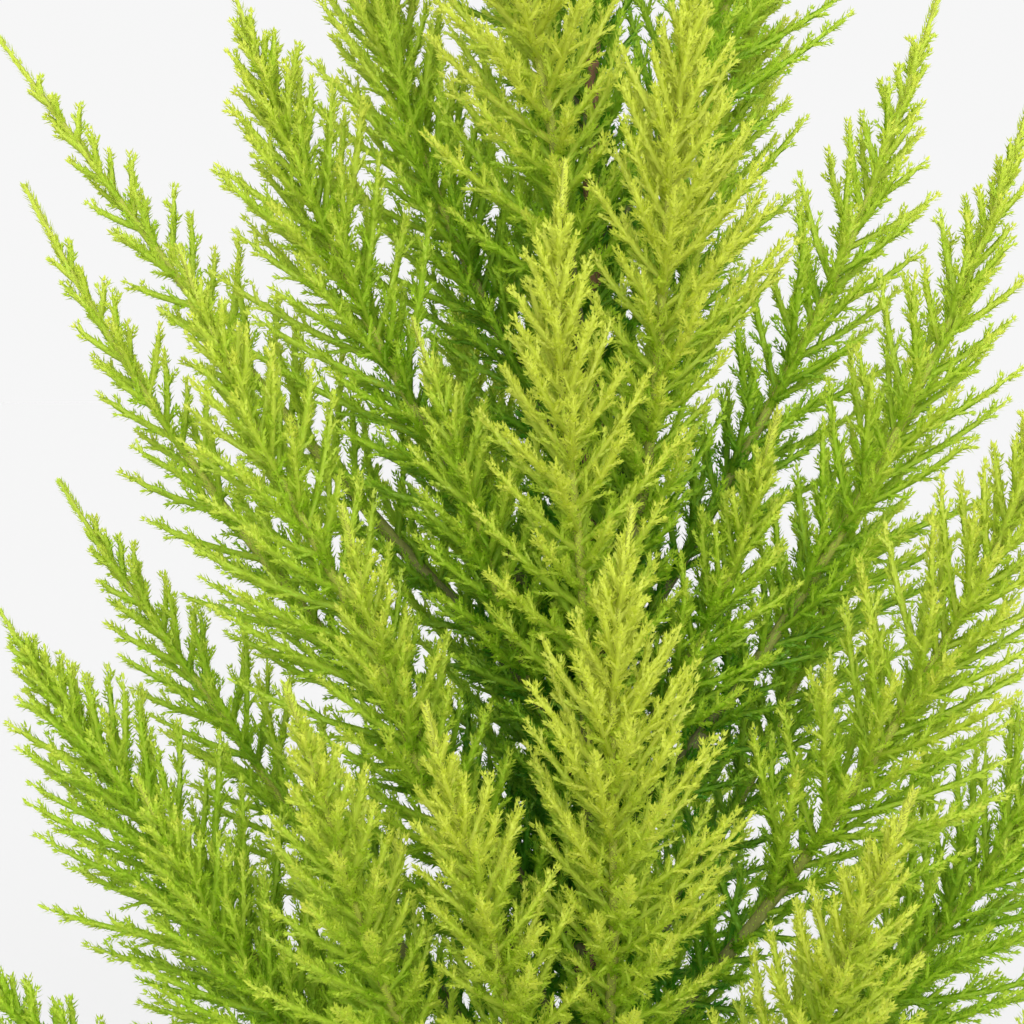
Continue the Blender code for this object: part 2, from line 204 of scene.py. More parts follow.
# Side shoots on a lateral or a short shoot, the parent. They stand between its shares first and last,
# and are longer by growth for each metre of it that is left to its tip. Of two shades, the first is
# how much they keep of the parent's chance step in tone, and the second is their own. Those whose
# tips have no room are shortened by each shortening in turn, and left out under SHORTEST_SHOOT.
SIDE_SHOOTS = dict(
    spacing=0.0028,
    first=0.05,
    last=0.91,
    angle=34,
    shortest=0.0020,
    growth=0.17,
    longest=0.0078,
)
SIDE_SHOOT_PLACES = (0.2, 0.8)
SIDE_SHOOT_ANGLE_SPREAD = 7
SIDE_SHOOT_LENGTH_SPREAD = (0.72, 1.18)
SIDE_SHOOT_UPTURN = 0.12
SIDE_SHOOT_SHADES = (0.8, 0.6)
SIDE_SHOOT_SHORTENINGS = (0.6, 0.6, 0.0)
SHORTEST_SHOOT = 0.0016
SHOOT_CURVE = 0.16
SHOOT_RADIUS = 0.00084

# The twig inside each shoot: its radius at the tip as a share of that at the foot, its sides, and
# its rings on a branched shoot and on a side shoot
TWIG_TAPER = 0.70
TWIG_SIDES = 3
BRANCHED_TWIG_RINGS = 4
SIDE_TWIG_RINGS = 1
# How deep a shoot's or a needle's root is sunk, as a share of the radius of what it stands on
ROOT_SHARE = 0.7

# Needles, in opposite pairs. Of two angles, the first is along a shoot and the second at its tip,
# over TIP_STRETCH, where needles shrink to TIP_NEEDLE_SHARE. APEX_PAIRS more pairs crowd within
# APEX_SHARE of the tip.
NEEDLE_LENGTH = 0.0020
NEEDLE_WIDTH = 0.00088
NEEDLE_LENGTH_SPREAD = (0.82, 1.15)
PAIR_SPACING = 0.00073
STEM_PAIR_SPACING = 0.00034
LIMB_PAIR_SPACING = 0.00050
PAIR_PLACES = (0.1, 0.9)
PAIR_TURN = 90
PAIR_TURN_SPREAD = 24
NEEDLE_ANGLES = (33, 28)
NEEDLE_ANGLE_SPREADS = (6, 9)
NEEDLE_TWIST = 14
TIP_NEEDLE_SHARE = 0.66
TIP_STRETCH = 0.0017
APEX_PAIRS = 4
APEX_SHARE = 0.02
# A needle's normals are its own for 1 - NEEDLE_SOFTNESS, and lean out from the shoot for the rest,
# forward along the needle by NORMAL_LEAN
NEEDLE_SOFTNESS = 0.92
NORMAL_LEAN = 0.35

# The most triangles in one joined piece
MOST_TRIANGLES = 190000

# Directions that a ring's first side is squared against, a little off the axes, so that no shoot and
# no wood runs just along them
SHOOT_REFERENCE = (0.02, 0.03, 1.0)
WOOD_REFERENCE = (0.02, 1.0, 0.03)

# The meshes of the trunk and of a bough: rings along them, and sides. The trunk's foot has rings of
# its own, and a bough has a collar where it leaves the trunk.
TRUNK_FOOT_HEIGHT = 0.03
TRUNK_FOOT_RINGS = 24
TRUNK_RINGS = 300
TRUNK_SIDES = 36
BOUGH_RINGS = 76
BOUGH_SIDES = 10
COLLAR_SWELL = 0.45
COLLAR_REACH = 0.018

# Bark relief: its depth as a share of the radius, and its waves. Fissures wander by two waves, each
# (reach, waves along, times the seed), and scales are the product of two, each (round, along) it.
TRUNK_BARK = dict(depth=0.09, seed=1.0)
BOUGH_BARK_DEPTH = 0.08
FISSURES_ROUND = 2.5
FISSURE_SHARPNESS = 0.6
FISSURE_WANDERS = ((0.9, 210, 1), (0.5, 530, 2))
SCALE_WAVES = ((7, 900), (5, -1300))
FISSURE_SHARE = 0.65
SCALE_SHARE = 0.35

# Bark colour. It goes from the first of two to the second up the trunk, and up a bough over a
# stretch of it given below. On a bough the first colour is dark, partly the wood's own colour and
# partly painted shade inside the crown, and the second is green. Streaks are counted for each metre
# across the wood, and fewer up it.
TRUNK_COLOURS = ((0.16, 0.09, 0.05), (0.22, 0.10, 0.045))
BOUGH_SHADED_AND_GREEN_COLOURS = ((0.10, 0.105, 0.03), (0.26, 0.29, 0.035))
TRUNK_STREAKS = 900
BOUGH_STREAKS = 1100
SHADE_TO_GREEN_FROM = 0.2
SHADE_TO_GREEN_STRETCH = 0.3
STREAKS_UP_SHARE = 0.3
STREAK_DETAIL = 6
STREAK_SHADES = (0.45, 1.55)
RIDGE_STRENGTH = 0.5
RIDGE_DEPTH = 0.0003
BARK_ROUGHNESS = 0.8

# The tones of needles and twigs, and how they shine and let light through
TONES = 7
# The low tones go to the inside of the crown, partly as painted shade, and the high ones to the tips
# and, as painted light, to the side towards the lamps.
DEEP_GREEN = (0.095, 0.330, 0.011)
MID_GREEN = (0.462, 0.642, 0.045)
YELLOW_LIME = (0.662, 0.722, 0.108)
TONE_TRANSLUCENCY = 0.62
TRANSLUCENT_GAIN = 1.15
LEAF_SPECULAR = 0.35
NEEDLE_ROUGHNESS = 0.5
TWIG_ROUGHNESS = 0.6

# What makes a tone lighter: its share of the stem, its share of the lateral, chance, how far out from
# the trunk it is, the more so on the side towards the direction given below, that of the lamps, and
# how high over the tree's middle. Being darker inside the crown is partly the plant's own deeper green
# and partly painted shade, and the extra lightness on the side towards the lamps is painted light.
CLIMB_LIGHT = 0.24
ALONG_LIGHT = 0.27
CHANCE_LIGHT = 0.03
OUTWARD_TONE_AND_SHADE = 0.29
PAINTED_SUNLIGHT = 0.31
PAINTED_LIGHT_DIRECTION = (0.17, -0.985)
PAINTED_LIGHT_LEAST_OUT = 0.01
HEIGHT_LIGHT = 0.56
MIDDLE_HEIGHT_SHARE = 0.35
LIGHT_GAIN = 1.15
LIGHT_OFFSET = 0.105
# The crown's radius at its widest height, how it narrows above and below that, and the share of it
# within which tones get lighter outwards
CROWN_RADIUS = 0.135
CROWN_WIDEST_HEIGHT = 0.27
CROWN_SPAN = 0.42
CROWN_FULLNESS = 1.08
CROWN_LEAST = 0.25
INNER_CROWN_SHARE = 0.55

# The camera: its aim on the trunk's plane, its distance, and its focal length in photo widths
CAMERA_AIM = (-0.0157, 0.0, 0.298)
CAMERA_DISTANCE = 0.95
CAMERA_ELEVATION = 4.0
FOCAL_WIDTHS = 3.711
SENSOR_WIDTH = 36.0

# The light, in Blender's units. FLOOR_TRIM darkens the floor until it meets the world's light.
WORLD_LIGHT = 0.927
KEY_LIGHT = dict(heading=-72, height=42, strength=2.95, softness=90)
FILL_LIGHT = dict(heading=-88, height=10, strength=3.0, softness=40)
FLOOR_RADIUS = 8.0
FLOOR_TRIM = 0.989


@dataclass
class Bough:
    """One arc from the trunk's centre line. limb_share is the part of it that is a limb."""

    name: str
    height: float
    heading: float
    lean_low: float
    lean_high: float
    length: float
    fullness: float
    limb_share: float
    seed: int

    @property
    def foliage_share(self):
        return self.limb_share or BARE_SHARE

    def radius(self, share):
        taper = (1 - share) ** BOUGH_TAPER_POWER
        return BOUGH_TIP_RADIUS + BOUGH_RADIUS_PER_LENGTH * self.length * taper

    def point(self, share):
        low = math.radians(self.lean_low)
        turn = math.radians(self.lean_high) - low
        lean = low + turn * share
        outward = self.length * (math.cos(low) - math.cos(lean)) / turn
        upward = self.length * (math.sin(lean) - math.sin(low)) / turn
        sway = BOUGH_SWAY * share * math.sin(2 * math.pi * BOUGH_SWAY_WAVES * share + self.seed)
        heading = math.radians(self.heading)
        ahead = Vector((math.cos(heading), math.sin(heading), 0))
        aside = Vector((-math.sin(heading), math.cos(heading), 0))
        return trunk_centre(self.height) + ahead * outward + aside * sway + Vector((0, 0, upward))

    def tangent(self, share):
        step = 0.01
        return (self.point(min(share + step, 1)) - self.point(max(share - step, 0))).normalized()


def trunk_radius(height):
    """The trunk's radius at a height, with its root flare and without its shoulders."""
    taper = max(0.0, 1 - height / TREE_HEIGHT) ** TRUNK_TAPER_POWER
    flare = ROOT_FLARE * math.exp(-height / ROOT_FLARE_HEIGHT)
    return TRUNK_TIP_RADIUS + (TRUNK_FOOT_RADIUS - TRUNK_TIP_RADIUS) * taper + flare


def trunk_centre(height):
    """The trunk's centre at a height, on a line that leans and sways a little."""
    climb = height / TREE_HEIGHT
    turn = 2 * math.pi * TRUNK_SWAY_WAVES * climb
    across = TRUNK_LEAN * climb * climb + TRUNK_SWAY * (1 - math.cos(turn))
    return Vector((across, TRUNK_SWAY * climb * math.sin(turn), height))


def between(ends, share):
    """The value at a share of the way from the first end to the second."""
    return ends[0] + (ends[1] - ends[0]) * share


def ruled_rows(count, heights, first_heading, turn, leans, lengths):
    """Rows of a tier whose boughs climb the trunk evenly and turn round it by the same step."""
    for i in range(count):
        share = i / (count - 1)
        yield between(heights, share), first_heading + turn * i, *leans, between(lengths, share), 1


def all_boughs():
    """Every bough from the lowest tier to the top, each with its own seed, and the leader last."""
    skirt = ruled_rows(
        SKIRT_BOUGHS, SKIRT_HEIGHTS, SKIRT_FIRST_HEADING, SKIRT_TURN, SKIRT_LEANS, SKIRT_LENGTHS
    )
    top = ruled_rows(TOP_SHOOTS, TOP_HEIGHTS, TOP_FIRST_HEADING, GOLDEN_ANGLE, TOP_LEANS, TOP_LENGTHS)
    tiers = (
        ("skirt", skirt, LIMB_SHARE),
        ("low", LOW_BOUGHS, LIMB_SHARE),
        ("middle", MIDDLE_BOUGHS, LIMB_SHARE),
        ("inner", INNER_SHOOTS, 0),
        ("upper", UPPER_SHOOTS, 0),
        ("top", top, 0),
    )
    boughs = []
    for tier, rows, limb_share in tiers:
        for number, row in enumerate(rows, start=1):
            boughs.append(Bough(f"{tier}_{number}", *row, limb_share, len(boughs)))
    length = TREE_HEIGHT - TRUNK_HEIGHT
    leader = Bough("leader", TRUNK_HEIGHT, LEADER_HEADING, *LEADER_LEANS, length, 1, 0, len(boughs))
    return boughs + [leader]


def plume_laterals(bough):
    """(share of the arc, direction, length) of each lateral of a plume, spiralling up its stem."""
    chance = random.Random(LATERAL_RULE_SEED + bough.seed)
    count = round(bough.length * (1 - bough.foliage_share) * bough.fullness / LATERAL_SPACING)
    spin = chance.uniform(0, 360)
    for i in range(count):
        step = (1 - bough.foliage_share) * (i + FIRST_STEP) / (count + TIP_STEPS)
        share = bough.foliage_share + step
        tangent = bough.tangent(share)
        side = tangent.cross(Vector((0, 0, 1))).normalized()
        across = Matrix.Rotation(math.radians(spin + GOLDEN_ANGLE * i), 3, tangent) @ side
        left = bough.length * (1 - share)
        angle = between(LATERAL_ANGLES, min(1, left / LATERAL_OPENING))
        angle = math.radians(angle + chance.uniform(-1, 1) * LATERAL_ANGLE_SPREAD)
        direction = tangent * math.cos(angle) + across * math.sin(angle)
        direction = (direction + Vector((0, 0, LATERAL_UPTURN))).normalized()
        room = (1 - math.exp(-left / LATERAL_REACH)) ** LATERAL_GROWTH_POWER
        length = LATERAL_LENGTH * room * bough.fullness * chance.uniform(*LATERAL_LENGTH_SPREAD)
        yield share, direction, length


def nearest(points, others):
    """The distance from each point to the nearest of the others."""
    return np.sqrt(((points[:, None] - others[None]) ** 2).sum(axis=2).min(axis=1))


class Space:
    """The room of each plume: nearer its own stem than any other, and clear of limbs and trunk."""

    def __init__(self, boughs):
        shares = np.linspace(0, 1, SPACE_SAMPLES)
        self.stems = {}
        wood = []
        for bough in boughs:
            leafy = [s for s in shares if s >= bough.foliage_share * STEM_MARGIN_SHARE]
            self.stems[bough.name] = np.array([bough.point(s) for s in leafy])
            bare = [s for s in shares if s <= bough.foliage_share]
            if bough.name != "leader":
                wood += [(*bough.point(s), bough.radius(s)) for s in bare]
        for height in np.linspace(0, TRUNK_HEIGHT, TRUNK_SPACE_SAMPLES):
            wood.append((*trunk_centre(height), trunk_radius(height)))
        self.wood = np.array(wood)

    def allows(self, name, points):
        """For each point, whether it lies in the room of the plume of that name."""
        own = nearest(points, self.stems[name])
        others = np.concatenate([stem for key, stem in self.stems.items() if key != name])
        gaps = np.linalg.norm(points[:, None] - self.wood[None, :, :3], axis=2) - self.wood[:, 3]
        clear_of_wood = np.all(gaps > PLUME_CLEARANCE, axis=1)
        return (own + PLUME_CLEARANCE < nearest(points, others)) & clear_of_wood


def unit(vectors):
    """Each vector at a length of 1."""
    return vectors / np.linalg.norm(vectors, axis=-1, keepdims=True)


class Shoots:
    """Many shoots as arrays. Each runs from its root along aim for its length, and curves by bend.

    climb is the share of the plume's stem that each stands at, and along its share of the lateral.
    radius is at its foot, shade is its chance step in tone, and beyond is how far a leafy stem goes
    on past this piece of it.
    """

    FIELDS = ("root", "aim", "bend", "length", "radius", "climb", "along", "shade", "beyond")

    def __init__(self, **fields):
        for field in self.FIELDS:
            setattr(self, field, fields[field])

    def __len__(self):
        return len(self.length)

    def pick(self, index):
        return Shoots(**{field: getattr(self, field)[index] for field in self.FIELDS})

    def point(self, t):
        path = self.aim * t[:, None] + self.bend * (t * t - t)[:, None]
        return self.root + path * self.length[:, None]

    def tangent(self, t):
        return unit(self.aim + self.bend * (2 * t - 1)[:, None])


def spiral_places(counts):
    """For shoots or needles that stand on parents: the parent of each, and its number there."""
    parent = np.repeat(np.arange(len(counts)), counts)
    number = np.arange(len(parent)) - np.repeat(np.cumsum(counts) - counts, counts)
    return parent, number


def around(tangent, spin):
    """Unit vectors square to each tangent, turned round it by spin."""
    side = unit(np.cross(tangent, SHOOT_REFERENCE))
    other = np.cross(tangent, side)
    return side * np.cos(spin)[:, None] + other * np.sin(spin)[:, None]


def laterals(bough, space):
    """The plume's laterals, each at the longest reach that keeps to the plume's room."""
    chance = np.random.default_rng(LATERAL_ROOM_SEED + bough.seed)
    rows = []
    steps = np.array(TESTED_SHARES)
    for share, direction, length in plume_laterals(bough):
        if length < SHORTEST_LATERAL:
            continue
        root, aim = np.array(bough.point(share)), np.array(direction)
        shade = chance.normal(0, 1)
        for shortening in SHORTENINGS:
            reach = length * shortening
            if space.allows(bough.name, root + aim * reach * steps[:, None]).all():
                rows.append((root, aim, reach, share, shade))
                break
    root, aim, length, climb, shade = (np.array(column) for column in zip(*rows))
    upward = unit(np.array(bough.tangent(LATERAL_CURVE_FROM)) + (0, 0, LATERAL_RISE))
    return Shoots(
        root=root,
        aim=aim,
        bend=LATERAL_CURVE * (upward - aim * (aim @ upward)[:, None]),
        length=length,
        radius=np.full(len(rows), LATERAL_RADIUS),
        climb=climb,
        along=np.zeros(len(rows)),
        shade=shade,
        beyond=np.zeros(len(rows)),
    )


def side_shoots(parents, keeps, chance, spacing, first, last, angle, shortest, growth, longest):
    """Shoots that spiral up each parent, shorter towards its tip, where keeps allows their tips."""
    counts = np.maximum((parents.length * (last - first) / spacing).astype(int), 1)
    index, number = spiral_places(counts)
    parent = parents.pick(index)
    place = number + chance.uniform(*SIDE_SHOOT_PLACES, len(index))
    t = first + (last - first) * place / counts[index]
    tangent = parent.tangent(t)
    spin = np.radians(GOLDEN_ANGLE * number) + chance.uniform(0, 2 * math.pi, len(counts))[index]
    spread = chance.uniform(-SIDE_SHOOT_ANGLE_SPREAD, SIDE_SHOOT_ANGLE_SPREAD, len(index))
    lean = np.radians(angle + spread)[:, None]
    aim = tangent * np.cos(lean) + around(tangent, spin) * np.sin(lean)
    aim = unit(aim + (0, 0, SIDE_SHOOT_UPTURN))
    length = np.minimum(shortest + growth * parent.length * (1 - t), longest)
    inherited, own = SIDE_SHOOT_SHADES
    made = Shoots(
        root=parent.point(t),
        aim=aim,
        bend=SHOOT_CURVE * (tangent - aim * (aim * tangent).sum(axis=1)[:, None]),
        length=length * chance.uniform(*SIDE_SHOOT_LENGTH_SPREAD, len(index)),
        radius=np.full(len(index), SHOOT_RADIUS),
        climb=parent.climb,
        along=t,
        shade=parent.shade * inherited + own * chance.normal(0, 1, len(index)),
        beyond=np.zeros(len(index)),
    )
    for shortening in SIDE_SHOOT_SHORTENINGS:
        kept = keeps(made.point(np.ones(len(made))))
        made.length = np.where(kept, made.length, made.length * shortening)
    return made.pick(made.length > SHORTEST_SHOOT)


def wood_shoots(points, radii, chance, spacing, lengths):
    """Short shoots that spiral up wood, given as the points and radii of its centre line."""
    steps = np.linalg.norm(np.diff(points, axis=0), axis=1)
    travelled = np.concatenate(((0,), np.cumsum(steps)))
    count = int(travelled[-1] / spacing)
    places = (np.arange(count) + chance.uniform(*WOOD_SHOOT_PLACES, count)) * spacing
    centre, tangent = (
        np.stack([np.interp(places, travelled, rows[:, axis]) for axis in range(3)], axis=1)
        for rows in (points, np.gradient(points, axis=0))
    )
    tangent = unit(tangent)
    spread = chance.uniform(-WOOD_SHOOT_TURN_SPREAD, WOOD_SHOOT_TURN_SPREAD, count)
    out = around(tangent, np.radians(GOLDEN_ANGLE) * np.arange(count) + spread)
    lean = WOOD_SHOOT_ANGLE + chance.uniform(-1, 1, count) * WOOD_SHOOT_ANGLE_SPREAD
    lean = np.radians(lean)[:, None]
    aim = tangent * np.cos(lean) + out * np.sin(lean)
    return Shoots(
        root=centre + out * np.interp(places, travelled, radii)[:, None] * ROOT_SHARE,
        aim=aim,
        bend=LATERAL_CURVE * (tangent - aim * (aim * tangent).sum(axis=1)[:, None]),
        length=chance.uniform(*lengths, count),
        radius=np.full(count, LATERAL_RADIUS),
        climb=np.zeros(count),
        along=np.zeros(count),
        shade=chance.normal(0, 1, count),
        beyond=np.zeros(count),
    )


def runs(centres, radii, climbs):
    """A leafy stem as short straight shoots, one after another, along its centre line."""
    steps = np.diff(centres, axis=0)
    lengths = np.linalg.norm(steps, axis=1)
    zeros = np.zeros(len(steps))
    return Shoots(
        root=centres[:-1],
        aim=unit(steps),
        bend=np.zeros_like(steps),
        length=lengths,
        radius=radii[:-1],
        climb=climbs[:-1],
        along=zeros + LEAFY_WOOD_ALONG,
        shade=zeros,
        beyond=lengths.sum() - np.cumsum(lengths),
    )


def needle_pairs(shoots, chance, spacing):
    """Opposite pairs of awl-shaped needles: corners (n, 2, 3, 3), tone of each pair, and normals.

    The normals lean out from the shoot, so that its needles shade as one soft rope.
    """
    ends = shoots.beyond < TIP_STRETCH
    apex = np.where(ends, APEX_PAIRS, 0)
    counts = (shoots.length / spacing).astype(int) + apex
    index, number = spiral_places(counts)
    shoot = shoots.pick(index)
    place = (number + chance.uniform(*PAIR_PLACES, len(index))) / (counts - apex + 1)[index]
    t = np.minimum(place, 1 - APEX_SHARE * chance.uniform(0, 1, len(index)))
    tangent = shoot.tangent(t)
    to_tip = np.clip((shoot.length * (1 - t) + shoot.beyond) / TIP_STRETCH, 0, 1)
    taper = np.where(ends[index], between((1, TWIG_TAPER), t), 1)
    surface = (shoot.radius * taper * ROOT_SHARE)[:, None]
    needles, normals = [], []
    for side in range(2):
        spin = PAIR_TURN * number + 180 * side
        spin = spin + chance.uniform(-PAIR_TURN_SPREAD, PAIR_TURN_SPREAD, len(index))
        out = around(tangent, np.radians(spin))
        spread = between(NEEDLE_ANGLE_SPREADS[::-1], to_tip) * chance.normal(0, 1, len(index))
        lean = np.radians(between(NEEDLE_ANGLES[::-1], to_tip) + spread)[:, None]
        direction = tangent * np.cos(lean) + out * np.sin(lean)
        across = unit(np.cross(direction, out))
        twist = np.radians(chance.uniform(-NEEDLE_TWIST, NEEDLE_TWIST, len(index)))[:, None]
        across = across * np.cos(twist) + np.cross(across, direction) * np.sin(twist)
        share = between((TIP_NEEDLE_SHARE, 1), to_tip)
        share = (share * chance.uniform(*NEEDLE_LENGTH_SPREAD, len(index)))[:, None]
        half = across * NEEDLE_WIDTH / 2 * np.sqrt(share)
        foot = shoot.point(t) + out * surface
        tip = foot + direction * NEEDLE_LENGTH * share
        needles.append(np.stack((foot - half, foot + half, tip), axis=1))
        flat = np.cross(across, direction)
        soft = out + direction * NORMAL_LEAN
        normals.append(unit(flat * (1 - NEEDLE_SOFTNESS) + soft * NEEDLE_SOFTNESS))
    along = np.where(shoot.along > 0, shoot.along, t)
    tones = tones_of(shoot.point(t), shoot.climb, along, shoot.shade)
    return np.stack(needles, axis=1), tones, np.stack(normals, axis=1)[:, :, None].repeat(3, axis=2)


def mesh_of(name, points, faces, normals=None):
    """A mesh object from arrays of points (n, 3) and triangles (m, 3), with its points' normals."""
    mesh = bpy.data.meshes.new(name)
    mesh.vertices.add(len(points))
    mesh.vertices.foreach_set("co", np.ascontiguousarray(points, np.float32).ravel())
    mesh.loops.add(faces.size)
    mesh.loops.foreach_set("vertex_index", np.ascontiguousarray(faces, np.int32).ravel())
    mesh.polygons.add(len(faces))
    mesh.polygons.foreach_set("loop_start", np.arange(0, faces.size, 3, dtype=np.int32))
    mesh.update(calc_edges=True)
    if normals is not None:
        mesh.attributes.new("custom_normal", "FLOAT_VECTOR", "POINT").data.foreach_set(
            "vector", np.ascontiguousarray(normals, np.float32).ravel()
        )
    obj = bpy.data.objects.new(name, mesh)
    bpy.context.scene.collection.objects.link(obj)
    return obj


def twigs(shoots, rings):
    """Tapering twigs that end in a point: corners (n, faces, 3, 3), tone of each, and normals."""
    count, sides = len(shoots), TWIG_SIDES
    corners, normals = [], []
    for ring in range(rings):
        t = np.full(count, ring / rings)
        tangent = shoots.tangent(t)
        radius = shoots.radius[:, None] * between((1, TWIG_TAPER), ring / rings)
        for side in range(sides):
            out = around(tangent, np.full(count, 2 * math.pi * side / sides))
            corners.append(shoots.point(t) + out * radius)
            normals.append(out)
    corners.append(shoots.point(np.ones(count)))
    normals.append(shoots.tangent(np.ones(count)))
    faces = []
    for ring in range(rings - 1):
        for side in range(sides):
            a, b = ring * sides + side, ring * sides + (side + 1) % sides
            faces += [(a, b, b + sides), (a, b + sides, a + sides)]
    top = (rings - 1) * sides
    faces += [(top + side, top + (side + 1) % sides, rings * sides) for side in range(sides)]
    middle = np.full(count, 0.5)
    along = np.where(shoots.along > 0, shoots.along, middle)
    tones = tones_of(shoots.point(middle), shoots.climb, along, shoots.shade)
    faces = np.array(faces)
    return np.stack(corners, axis=1)[:, faces], tones, np.stack(normals, axis=1)[:, faces]


def tones_of(place, climb, along, shade):
    """The tone at each place, 0 for deep green inside the crown to TONES - 1 for lime at the tips.

    The deep green inside the crown is partly the plant's own colour and partly painted shade, and
    the extra lightness on the side towards the lamps is painted light.
    """
    heights = np.linspace(0, TRUNK_HEIGHT, AXIS_PLACES)
    axis = np.array([trunk_centre(height)[:2] for height in heights])
    x, y = (np.interp(place[:, 2], heights, axis[:, i]) for i in range(2))
    out = np.hypot(place[:, 0] - x, place[:, 1] - y)
    narrowing = np.abs(place[:, 2] - CROWN_WIDEST_HEIGHT) / CROWN_SPAN
    crown = CROWN_RADIUS * np.clip(CROWN_FULLNESS - narrowing, CROWN_LEAST, 1)
    # Painted light: tones get lighter on the side of the crown towards the lamps.
    toward_painted_light = PAINTED_LIGHT_DIRECTION[0] * place[:, 0] + PAINTED_LIGHT_DIRECTION[1] * place[:, 1]
    painted_lit_side = np.clip(toward_painted_light / np.maximum(out, PAINTED_LIGHT_LEAST_OUT), 0, 1) ** 2
    # Painted shade, with the plant's own deeper green: tones get darker towards the inside of the
    # crown.
    outward = np.clip(out / (INNER_CROWN_SHARE * crown), 0, 1) * (OUTWARD_TONE_AND_SHADE + PAINTED_SUNLIGHT * painted_lit_side)
    light = CLIMB_LIGHT * climb + outward + ALONG_LIGHT * along + CHANCE_LIGHT * shade
    light = light + HEIGHT_LIGHT * (place[:, 2] / TREE_HEIGHT - MIDDLE_HEIGHT_SHARE)
    return np.clip((light * LIGHT_GAIN - LIGHT_OFFSET) * TONES, 0, TONES - 1).astype(int)


def principled(name, colour, roughness):
    """A material, its node tree, and its shader."""
    made = bpy.data.materials.new(name)
    made.use_nodes = True
    tree = made.node_tree
    shader = tree.nodes["Principled BSDF"]
    shader.inputs["Base Color"].default_value = (*colour, 1)
    shader.inputs["Roughness"].default_value = roughness
    return made, tree, shader


def leaf_material(name, colour, roughness):
    """A plain-coloured leaf that lets some light through."""
    made, tree, shader = principled(name, colour, roughness)
    shader.inputs["Specular IOR Level"].default_value = LEAF_SPECULAR
    through = tree.nodes.new("ShaderNodeBsdfTranslucent")
    through.inputs["Color"].default_value = (*[min(1, c * TRANSLUCENT_GAIN) for c in colour], 1)
    mix = tree.nodes.new("ShaderNodeMixShader")
    mix.inputs["Fac"].default_value = TONE_TRANSLUCENCY
    tree.links.new(shader.outputs["BSDF"], mix.inputs[1])
    tree.links.new(through.outputs["BSDF"], mix.inputs[2])
    tree.links.new(mix.outputs["Shader"], tree.nodes["Material Output"].inputs["Surface"])
    return made


def tone_colour(tone):
    """The base colour of a tone, from deep green through mid green to yellow-lime."""
    share = tone / (TONES - 1) * 2
    ends = (DEEP_GREEN, MID_GREEN) if share < 1 else (MID_GREEN, YELLOW_LIME)
    return [between(pair, share % 1 if share < 2 else 1) for pair in zip(*ends)]


def bark_material(name, low_colour, high_colour, streaks):
    """Bark whose colour changes along the wood, with streaks, flecks and fine ridges."""
    made, tree, shader = principled(name, low_colour, BARK_ROUGHNESS)
    nodes, links = tree.nodes, tree.links
    place = nodes.new("ShaderNodeTexCoord")
    stretch = nodes.new("ShaderNodeMapping")
    stretch.inputs["Scale"].default_value = (streaks, streaks, streaks * STREAKS_UP_SHARE)
    links.new(place.outputs["Object"], stretch.inputs["Vector"])
    noise = nodes.new("ShaderNodeTexNoise")
    noise.inputs["Scale"].default_value = 1
    noise.inputs["Detail"].default_value = STREAK_DETAIL
    links.new(stretch.outputs["Vector"], noise.inputs["Vector"])
    climb = nodes.new("ShaderNodeAttribute")
    climb.attribute_name = "climb"
    blend = nodes.new("ShaderNodeMix")
    blend.data_type = "RGBA"
    blend.inputs["A"].default_value = (*low_colour, 1)
    blend.inputs["B"].default_value = (*high_colour, 1)
    links.new(climb.outputs["Fac"], blend.inputs["Factor"])
    spread = nodes.new("ShaderNodeMapRange")
    spread.inputs["To Min"].default_value, spread.inputs["To Max"].default_value = STREAK_SHADES
    links.new(noise.outputs["Fac"], spread.inputs["Value"])
    shade = nodes.new("ShaderNodeVectorMath")
    shade.operation = "SCALE"
    links.new(blend.outputs["Result"], shade.inputs[0])
    links.new(spread.outputs["Result"], shade.inputs["Scale"])
    links.new(shade.outputs["Vector"], shader.inputs["Base Color"])
    bump = nodes.new("ShaderNodeBump")
    bump.inputs["Strength"].default_value = RIDGE_STRENGTH
    bump.inputs["Distance"].default_value = RIDGE_DEPTH
    links.new(noise.outputs["Fac"], bump.inputs["Height"])
    links.new(bump.outputs["Normal"], shader.inputs["Normal"])
    return made


def relief(turn, along, seed):
    """Bark relief from -1 to 1: long shallow fissures that wander and fork, and fine scales."""
    wander = sum(
        reach * np.sin(along * waves + times * seed) for reach, waves, times in FISSURE_WANDERS
    )
    fissures = np.abs(np.sin(FISSURES_ROUND * turn + wander)) ** FISSURE_SHARPNESS * 2 - 1
    rising, falling = (times * turn + waves * along for times, waves in SCALE_WAVES)
    scales = np.sin(rising + seed) * np.sin(falling)
    return FISSURE_SHARE * fissures + SCALE_SHARE * scales


